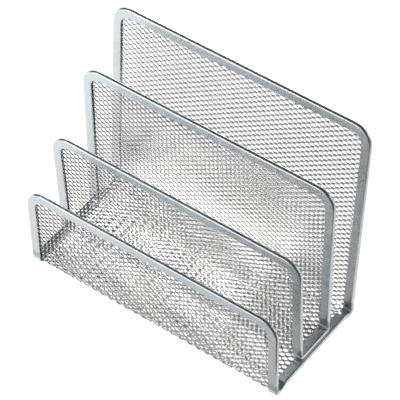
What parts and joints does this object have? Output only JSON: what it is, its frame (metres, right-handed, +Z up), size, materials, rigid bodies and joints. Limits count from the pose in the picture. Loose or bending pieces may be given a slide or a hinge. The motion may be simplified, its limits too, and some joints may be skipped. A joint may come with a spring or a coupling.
{
  "type": "letter holder",
  "caption": "Desktop letter holder: stepped upright panels of silver steel mesh bound by rolled rims, standing on bent mesh bases and forming slots open at both ends for letters.",
  "frame": {"origin": "on the desk, midway between the two sides and midway between the front and back edges", "axes": "+X along the width, to the right as seen from the low front panel, +Y from the front panel to the tall back panel, +Z up"},
  "size_m": [0.175, 0.087, 0.142],
  "materials": {
    "mesh": "silver epoxy paint, satin",
    "rim": "silver epoxy paint, satin"
  },
  "bodies": {
    "root": {"front_mesh": "mesh", "base_mesh": "mesh", "back_mesh": "mesh", "divider_front_mesh": "mesh", "divider_floor_mesh": "mesh", "divider_back_mesh": "mesh", "front_rim": "rim", "back_rim": "rim", "divider_front_rim": "rim", "divider_back_rim": "rim", "base_rim_left": "rim", "base_rim_right": "rim", "divider_floor_rim_left": "rim", "divider_floor_rim_right": "rim", "divider_welds": "rim"}
  },
  "joints": []
}
